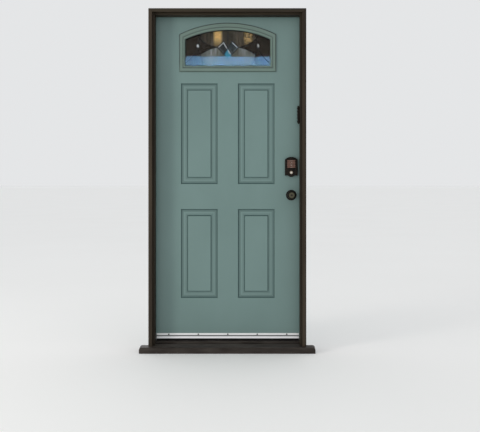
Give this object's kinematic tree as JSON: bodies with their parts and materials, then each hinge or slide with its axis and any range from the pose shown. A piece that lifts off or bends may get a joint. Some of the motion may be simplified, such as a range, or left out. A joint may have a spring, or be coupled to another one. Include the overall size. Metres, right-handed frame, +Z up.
{
  "type": "panelled front door",
  "caption": "Inswing panelled front door hung in its frame, with an arched leaded light, keypad deadbolt, knob set, sweep and sill.",
  "frame": {"origin": "on the floor under the middle of the door, level with the leaf's outside face", "axes": "+Z up, +X to the right seen from outside, +Y into the house"},
  "size_m": [1.07, 0.2315, 2.0978],
  "materials": {
    "frame_wood": "dark brown satin paint over softwood",
    "sill_wood": "dark brown porch paint, a little worn on the slope",
    "door_skin": "muted sage green satin paint on pressed steel",
    "bare_wood": "planed softwood, unpainted",
    "foam": "closed-cell foam",
    "light_frame": "moulded frame painted with the door",
    "clear_glass": "clear float glass",
    "bevel_glass": "polished bevelled glass",
    "petal_glass": "seedy textured glass",
    "spacer": "dark spacer bar",
    "lead": "dark patinated lead came",
    "sweep_metal": "bright mill aluminium",
    "seal_rubber": "black rubber",
    "hardware": "dark aged bronze finish",
    "bright_metal": "bright nickel",
    "steel": "zinc-plated steel",
    "buttons": "warm brown moulded keys"
  },
  "bodies": {
    "frame": {"sill": "sill_wood", "threshold": "sill_wood", "jamb_hinge_side": "frame_wood", "jamb_lock_side": "frame_wood", "head_jamb": "frame_wood", "mould_hinge_side": "frame_wood", "mould_lock_side": "frame_wood", "mould_head": "frame_wood", "weatherstrips": "seal_rubber", "hinge_frame_plates": "hardware", "hinge_pins": "hardware", "frame_screws": "hardware", "latch_strike": "hardware", "deadbolt_strike": "hardware", "doorpost_case": "hardware", "doorpost_nails": "steel"},
    "leaf": {"skin_outside": "door_skin", "skin_inside": "door_skin", "hinge_stile": "bare_wood", "lock_stile": "bare_wood", "top_rail": "bare_wood", "bottom_rail": "bare_wood", "lock_block": "bare_wood", "foam_core": "foam", "hinge_leaf_plates": "hardware", "leaf_screws": "hardware", "light_frame_outside": "light_frame", "light_frame_inside": "light_frame", "light_screws": "steel", "pane_outside": "clear_glass", "pane_inside": "clear_glass", "pane_spacers": "spacer", "came_network": "lead", "bevels_and_jewels": "bevel_glass", "petal_glass": "petal_glass", "field_glass": "clear_glass", "sweep_bar": "sweep_metal", "sweep_fin": "seal_rubber", "sweep_screws": "steel", "keypad_housing": "hardware", "cylinder_collar": "bright_metal", "inside_housing": "hardware", "deadbolt_case": "steel", "lock_chassis": "steel", "rose_outside": "hardware", "rose_inside": "hardware", "latch_case": "steel"},
    "knob_outside": {"knob_outside": "hardware"},
    "knob_key_plug": {"knob_key_plug": "hardware"},
    "knob_inside": {"knob_inside": "hardware"},
    "turn_button": {"turn_button": "hardware"},
    "latch_bolt": {"latch_bolt": "bright_metal"},
    "deadbolt": {"deadbolt": "bright_metal"},
    "thumbturn": {"thumbturn": "hardware"},
    "deadbolt_key_plug": {"deadbolt_key_plug": "bright_metal"},
    "keypad_button_1": {"keypad_button_1": "buttons"},
    "keypad_button_2": {"keypad_button_2": "buttons"},
    "keypad_button_3": {"keypad_button_3": "buttons"},
    "keypad_button_4": {"keypad_button_4": "buttons"},
    "keypad_button_5": {"keypad_button_5": "buttons"}
  },
  "joints": [
    {"name": "door_swing", "type": "hinge", "parent": "frame", "child": "leaf", "pos_m": [-0.4555, 0.051, 0], "axis": [0, 0, 1], "range_deg": [0, 110]},
    {"name": "knob_turn", "type": "hinge", "parent": "leaf", "child": "knob_outside", "pos_m": [0.394, 0.02225, 0.95776], "axis": [0, 1, 0], "range_deg": [0, 60]},
    {"name": "inside_knob_turn", "type": "hinge", "parent": "leaf", "child": "knob_inside", "pos_m": [0.394, 0.02225, 0.95776], "axis": [0, 1, 0], "range_deg": [0, 60]},
    {"name": "latch_slide", "type": "slide", "parent": "leaf", "child": "latch_bolt", "axis": [1, 0, 0], "range_m": [0, 0.012]},
    {"name": "knob_key_turn", "type": "hinge", "parent": "knob_outside", "child": "knob_key_plug", "pos_m": [0.394, 0.02225, 0.95776], "axis": [0, 1, 0], "range_deg": [-90, 90]},
    {"name": "turn_button_turn", "type": "hinge", "parent": "knob_inside", "child": "turn_button", "pos_m": [0.394, 0.02225, 0.95776], "axis": [0, 1, 0], "range_deg": [0, 90]},
    {"name": "thumbturn_turn", "type": "hinge", "parent": "leaf", "child": "thumbturn", "pos_m": [0.394, 0.02225, 1.09776], "axis": [0, 1, 0], "range_deg": [0, 90]},
    {"name": "deadbolt_slide", "type": "slide", "parent": "leaf", "child": "deadbolt", "axis": [1, 0, 0], "range_m": [0, 0.0254]},
    {"name": "deadbolt_key_turn", "type": "hinge", "parent": "leaf", "child": "deadbolt_key_plug", "pos_m": [0.394, 0.02225, 1.09776], "axis": [0, 1, 0], "range_deg": [-90, 90]},
    {"name": "keypad_button_1_press", "type": "slide", "parent": "leaf", "child": "keypad_button_1", "axis": [0, 1, 0], "range_m": [0, 0.001], "stiffness_N_per_m": 400},
    {"name": "keypad_button_2_press", "type": "slide", "parent": "leaf", "child": "keypad_button_2", "axis": [0, 1, 0], "range_m": [0, 0.001], "stiffness_N_per_m": 400},
    {"name": "keypad_button_3_press", "type": "slide", "parent": "leaf", "child": "keypad_button_3", "axis": [0, 1, 0], "range_m": [0, 0.001], "stiffness_N_per_m": 400},
    {"name": "keypad_button_4_press", "type": "slide", "parent": "leaf", "child": "keypad_button_4", "axis": [0, 1, 0], "range_m": [0, 0.001], "stiffness_N_per_m": 400},
    {"name": "keypad_button_5_press", "type": "slide", "parent": "leaf", "child": "keypad_button_5", "axis": [0, 1, 0], "range_m": [0, 0.001], "stiffness_N_per_m": 400}
  ],
  "couplings": [
    {"joint": "inside_knob_turn", "follows": "knob_turn", "ratio": 1},
    {"joint": "latch_slide", "follows": "knob_turn", "m_per_rad": 0.011458},
    {"joint": "deadbolt_slide", "follows": "thumbturn_turn", "m_per_rad": 0.016169}
  ]
}
